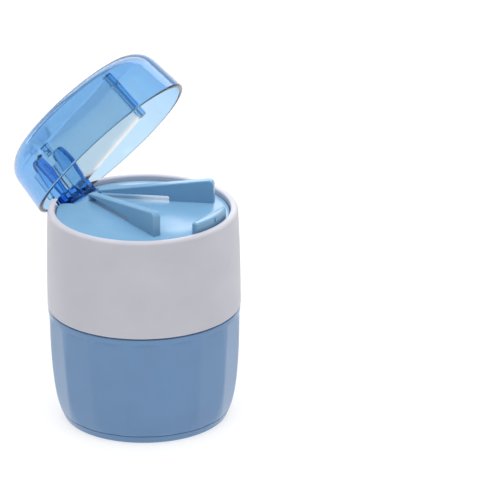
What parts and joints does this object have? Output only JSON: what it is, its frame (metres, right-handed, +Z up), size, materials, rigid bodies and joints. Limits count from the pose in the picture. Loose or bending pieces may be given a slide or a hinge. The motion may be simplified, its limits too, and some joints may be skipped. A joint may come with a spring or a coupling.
{
  "type": "pill crusher",
  "caption": "Screw-type pill crusher with a storage well, a V-shaped pill holder and a hinged clear lid that carries a cutting blade.",
  "frame": {"origin": "middle of the underside of the foot, on the cup's axis", "axes": "+Z up along the cup's axis; -Y points to the front, where the catch is; the lid's hinge is at the back (+Y) and turns about X"},
  "size_m": [0.0582, 0.0679, 0.1122],
  "materials": {
    "cup_blue": "satin moulded blue",
    "deck_blue": "glossy moulded blue",
    "shell_white": "satin moulded white",
    "lid_clear_blue": "clear tinted moulded plastic",
    "plate_steel": "lathe-turned stainless steel",
    "blade_steel": "polished blade with ground bevels",
    "pin_steel": "plain steel wire"
  },
  "bodies": {
    "cup": {"base_cap": "cup_blue", "cup_body": "cup_blue", "anvil_disc": "plate_steel"},
    "plate": {"press_plate": "plate_steel"},
    "top": {"press_body": "cup_blue", "upper_shell": "shell_white"},
    "deck": {"cutter_deck": "deck_blue", "hinge_pin": "deck_blue"},
    "cover": {"lid": "lid_clear_blue", "blade": "blade_steel", "blade_pin_front": "pin_steel", "blade_pin_rear": "pin_steel"}
  },
  "joints": [
    {"name": "screw_travel", "type": "slide", "parent": "cup", "child": "plate", "axis": [0, 0, 1], "range_m": [0, 0.0089]},
    {"name": "screw_turn", "type": "hinge", "parent": "plate", "child": "top", "pos_m": [0, 0, 0.04], "axis": [0, 0, 1], "range_deg": [0, 720]},
    {"name": "deck_lift", "type": "slide", "parent": "top", "child": "deck", "axis": [0, 0, 1], "range_m": [0, 0.02]},
    {"name": "lid_hinge", "type": "hinge", "parent": "deck", "child": "cover", "pos_m": [0, 0.0225, 0.06335], "axis": [1, 0, 0], "range_deg": [0, 50.6]}
  ],
  "couplings": [
    {"joint": "screw_travel", "follows": "screw_turn", "m_per_rad": 0.00070028}
  ]
}
